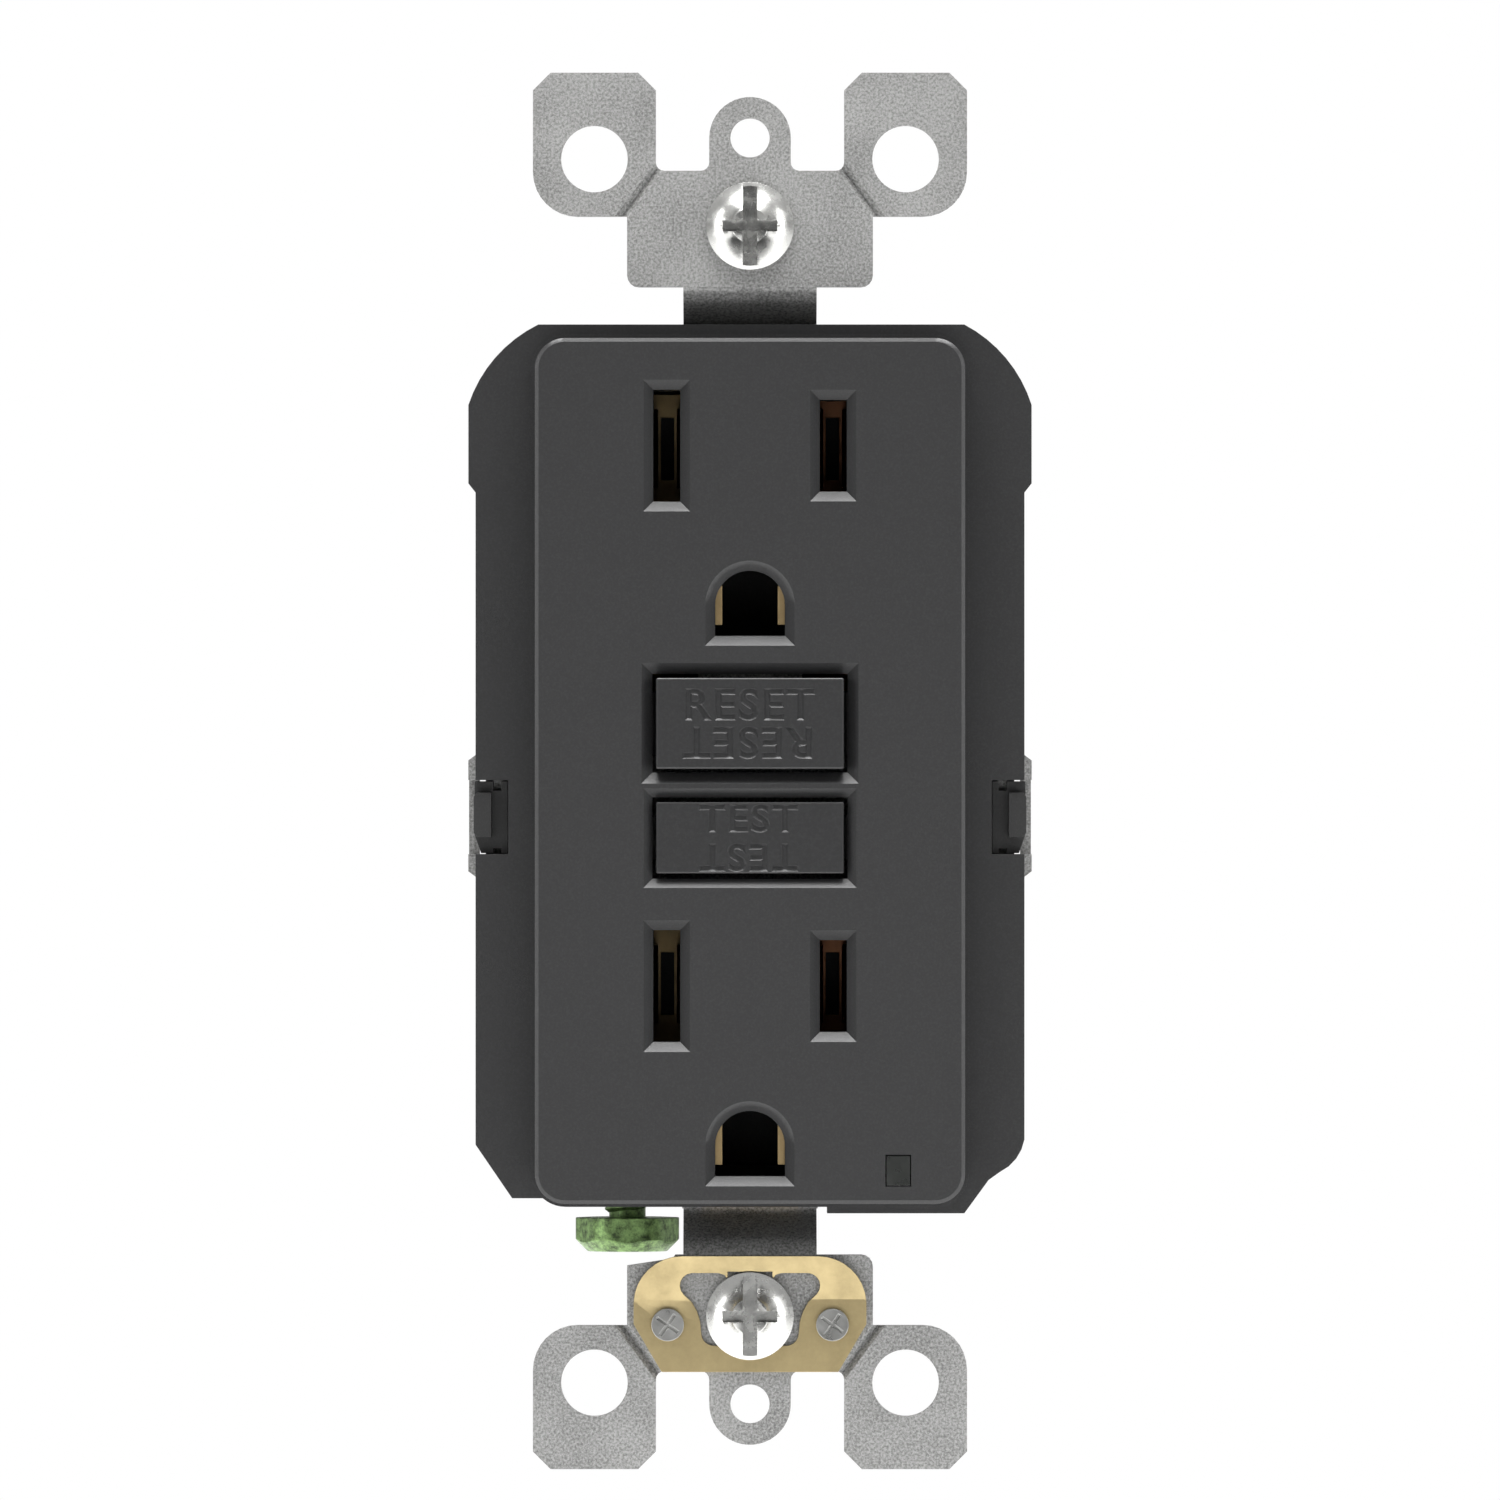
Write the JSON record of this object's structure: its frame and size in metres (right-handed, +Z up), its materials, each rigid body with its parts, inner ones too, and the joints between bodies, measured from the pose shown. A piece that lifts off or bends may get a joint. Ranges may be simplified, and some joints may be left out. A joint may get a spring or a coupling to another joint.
{
  "type": "gfci outlet",
  "caption": "Flush duplex power outlet with ground-fault protection: rectangular face, reset and test buttons, metal mounting strap, screw terminals at the sides.",
  "frame": {"origin": "midway between the two wall-plate holes, on the rear plane of the strap's ends", "axes": "+X to the right seen from the front, +Y to the back (the face looks along -Y), +Z up"},
  "size_m": [0.0432, 0.0326, 0.1068],
  "materials": {
    "black_thermoplastic": "fine matt grain",
    "housing_thermoplastic": "matt",
    "frame_thermoplastic": "matt",
    "button_thermoplastic": "satin",
    "galvanised_steel": "zinc-plated, fine grain",
    "rivet_steel": "satin",
    "spring_steel": "bright",
    "clip_brass": "satin",
    "contact_brass": "satin",
    "contact_copper": "satin",
    "winding_copper": "enamelled",
    "terminal_brass": "satin",
    "terminal_nickel": "bright",
    "silver_contact": "satin",
    "screw_nickel": "bright nickel plate",
    "green_screw": "green chromate",
    "fibre_brown": "vulcanised fibre",
    "board_green": "solder mask",
    "core_grey": "epoxy coat",
    "core_green": "epoxy coat",
    "bobbin_nylon": "natural nylon",
    "varistor_blue": "dipped epoxy",
    "capacitor_yellow": "moulded",
    "component_black": "moulded epoxy",
    "resistor_tan": "lacquer",
    "lamp_green": "clear epoxy",
    "lens_smoke": "smoke tint, glossy"
  },
  "bodies": {
    "outlet_body": {"front_cover": "black_thermoplastic", "rear_housing": "housing_thermoplastic", "middle_frame": "frame_thermoplastic", "mounting_strap": "galvanised_steel", "self_grounding_clip": "clip_brass", "clip_rivets": "rivet_steel", "ground_contact_upper": "contact_brass", "ground_contact_lower": "contact_brass", "ground_contact_rivets": "rivet_steel", "hot_receptacle_contact": "contact_copper", "neutral_receptacle_contact": "contact_brass", "fixed_contact_points": "silver_contact", "line_hot_terminal": "terminal_brass", "line_neutral_terminal": "terminal_nickel", "load_hot_terminal": "terminal_brass", "load_neutral_terminal": "terminal_nickel", "line_conductors": "contact_copper", "circuit_board": "board_green", "transformer_boat": "frame_thermoplastic", "sense_core": "core_grey", "neutral_core": "core_green", "solenoid_bobbin": "bobbin_nylon", "solenoid_winding": "winding_copper", "solenoid_frame": "galvanised_steel", "surge_varistor": "varistor_blue", "filter_capacitor": "capacitor_yellow", "trip_thyristor": "component_black", "control_chip": "component_black", "board_resistors": "resistor_tan", "board_diodes": "component_black", "status_led": "lamp_green", "led_light_pipe": "lens_smoke", "test_leaf": "contact_brass", "housing_screws": "rivet_steel", "reset_spring": "spring_steel", "test_spring": "spring_steel", "plunger_spring": "spring_steel"},
    "reset_button": {"reset_button": "button_thermoplastic", "reset_stem": "spring_steel"},
    "test_button": {"test_button": "button_thermoplastic"},
    "solenoid_plunger": {"solenoid_plunger": "spring_steel"},
    "contact_carriage": {"contact_carriage": "bobbin_nylon"},
    "latch_plate": {"latch_plate": "galvanised_steel"},
    "hot_contact_arm": {"hot_contact_arm": "contact_copper"},
    "neutral_contact_arm": {"neutral_contact_arm": "contact_copper"},
    "ground_screw": {"ground_screw": "green_screw"},
    "line_hot_screw": {"line_hot_screw": "terminal_brass"},
    "line_hot_clamp": {"line_hot_clamp": "terminal_brass"},
    "line_neutral_screw": {"line_neutral_screw": "terminal_nickel"},
    "line_neutral_clamp": {"line_neutral_clamp": "terminal_nickel"},
    "load_hot_screw": {"load_hot_screw": "terminal_brass"},
    "load_hot_clamp": {"load_hot_clamp": "terminal_brass"},
    "load_neutral_screw": {"load_neutral_screw": "terminal_nickel"},
    "load_neutral_clamp": {"load_neutral_clamp": "terminal_nickel"},
    "retainer_top": {"retainer_top": "fibre_brown"},
    "mounting_screw_top": {"mounting_screw_top": "screw_nickel"},
    "retainer_bottom": {"retainer_bottom": "fibre_brown"},
    "mounting_screw_bottom": {"mounting_screw_bottom": "screw_nickel"}
  },
  "joints": [
    {"name": "reset_press", "type": "slide", "parent": "outlet_body", "child": "reset_button", "axis": [0, 1, 0], "range_m": [0, 0.0012], "stiffness_N_per_m": 2000, "springref_m": -0.001, "deforming": ["reset_spring"]},
    {"name": "test_press", "type": "slide", "parent": "outlet_body", "child": "test_button", "axis": [0, 1, 0], "range_m": [0, 0.0015], "stiffness_N_per_m": 1500, "springref_m": -0.001, "deforming": ["test_spring"]},
    {"name": "carriage_slide", "type": "slide", "parent": "outlet_body", "child": "contact_carriage", "axis": [0, 1, 0], "range_m": [0, 0.0012]},
    {"name": "hot_arm_swing", "type": "hinge", "parent": "outlet_body", "child": "hot_contact_arm", "pos_m": [0.00635, 0.01465, -0.012], "axis": [-1, 0, 0], "range_deg": [0, 4.6]},
    {"name": "neutral_arm_swing", "type": "hinge", "parent": "outlet_body", "child": "neutral_contact_arm", "pos_m": [-0.00635, 0.01465, -0.012], "axis": [-1, 0, 0], "range_deg": [0, 4.6]},
    {"name": "plunger_slide", "type": "slide", "parent": "outlet_body", "child": "solenoid_plunger", "axis": [0, 0, 1], "range_m": [0, 0.0012], "stiffness_N_per_m": 300, "springref_m": -0.001, "deforming": ["plunger_spring"]},
    {"name": "latch_slide", "type": "slide", "parent": "contact_carriage", "child": "latch_plate", "axis": [0, 0, 1], "range_m": [0, 0.0012]},
    {"name": "line_hot_clamp_slide", "type": "slide", "parent": "outlet_body", "child": "line_hot_clamp", "axis": [1, 0, 0], "range_m": [0, 0.0023]},
    {"name": "line_hot_turn", "type": "hinge", "parent": "outlet_body", "child": "line_hot_screw", "pos_m": [0.0172, 0.0148, -0.019], "axis": [-1, 0, 0], "range_deg": [0, 1046]},
    {"name": "line_neutral_clamp_slide", "type": "slide", "parent": "outlet_body", "child": "line_neutral_clamp", "axis": [-1, 0, 0], "range_m": [0, 0.0023]},
    {"name": "line_neutral_turn", "type": "hinge", "parent": "outlet_body", "child": "line_neutral_screw", "pos_m": [-0.0172, 0.0148, -0.019], "axis": [1, 0, 0], "range_deg": [0, 1046]},
    {"name": "load_hot_clamp_slide", "type": "slide", "parent": "outlet_body", "child": "load_hot_clamp", "axis": [1, 0, 0], "range_m": [0, 0.0023]},
    {"name": "load_hot_turn", "type": "hinge", "parent": "outlet_body", "child": "load_hot_screw", "pos_m": [0.0172, 0.0148, 0.017], "axis": [-1, 0, 0], "range_deg": [0, 1046]},
    {"name": "load_neutral_clamp_slide", "type": "slide", "parent": "outlet_body", "child": "load_neutral_clamp", "axis": [-1, 0, 0], "range_m": [0, 0.0023]},
    {"name": "load_neutral_turn", "type": "hinge", "parent": "outlet_body", "child": "load_neutral_screw", "pos_m": [-0.0172, 0.0148, 0.017], "axis": [1, 0, 0], "range_deg": [0, 1046]},
    {"name": "ground_screw_turn", "type": "hinge", "parent": "outlet_body", "child": "ground_screw", "pos_m": [-0.00943, 0.0085, -0.0343], "axis": [0, 0, 1], "range_deg": [0, 720]},
    {"name": "retainer_slide_top", "type": "slide", "parent": "outlet_body", "child": "retainer_top", "axis": [0, -1, 0], "range_m": [0, 0.0028]},
    {"name": "mounting_screw_turn_top", "type": "hinge", "parent": "retainer_top", "child": "mounting_screw_top", "pos_m": [0, 0.004, 0.04167], "axis": [0, 1, 0], "continuous": true},
    {"name": "retainer_slide_bottom", "type": "slide", "parent": "outlet_body", "child": "retainer_bottom", "axis": [0, -1, 0], "range_m": [0, 0.0028]},
    {"name": "mounting_screw_turn_bottom", "type": "hinge", "parent": "retainer_bottom", "child": "mounting_screw_bottom", "pos_m": [0, 0.004, -0.04167], "axis": [0, 1, 0], "continuous": true}
  ],
  "couplings": [
    {"joint": "carriage_slide", "follows": "reset_press", "ratio": 1},
    {"joint": "hot_arm_swing", "follows": "reset_press", "rad_per_m": 64.5},
    {"joint": "neutral_arm_swing", "follows": "reset_press", "rad_per_m": 64.5},
    {"joint": "latch_slide", "follows": "plunger_slide", "ratio": 1},
    {"joint": "line_hot_turn", "follows": "line_hot_clamp_slide", "rad_per_m": 7915.8},
    {"joint": "line_neutral_turn", "follows": "line_neutral_clamp_slide", "rad_per_m": 7915.8},
    {"joint": "load_hot_turn", "follows": "load_hot_clamp_slide", "rad_per_m": 7915.8},
    {"joint": "load_neutral_turn", "follows": "load_neutral_clamp_slide", "rad_per_m": 7915.8}
  ]
}
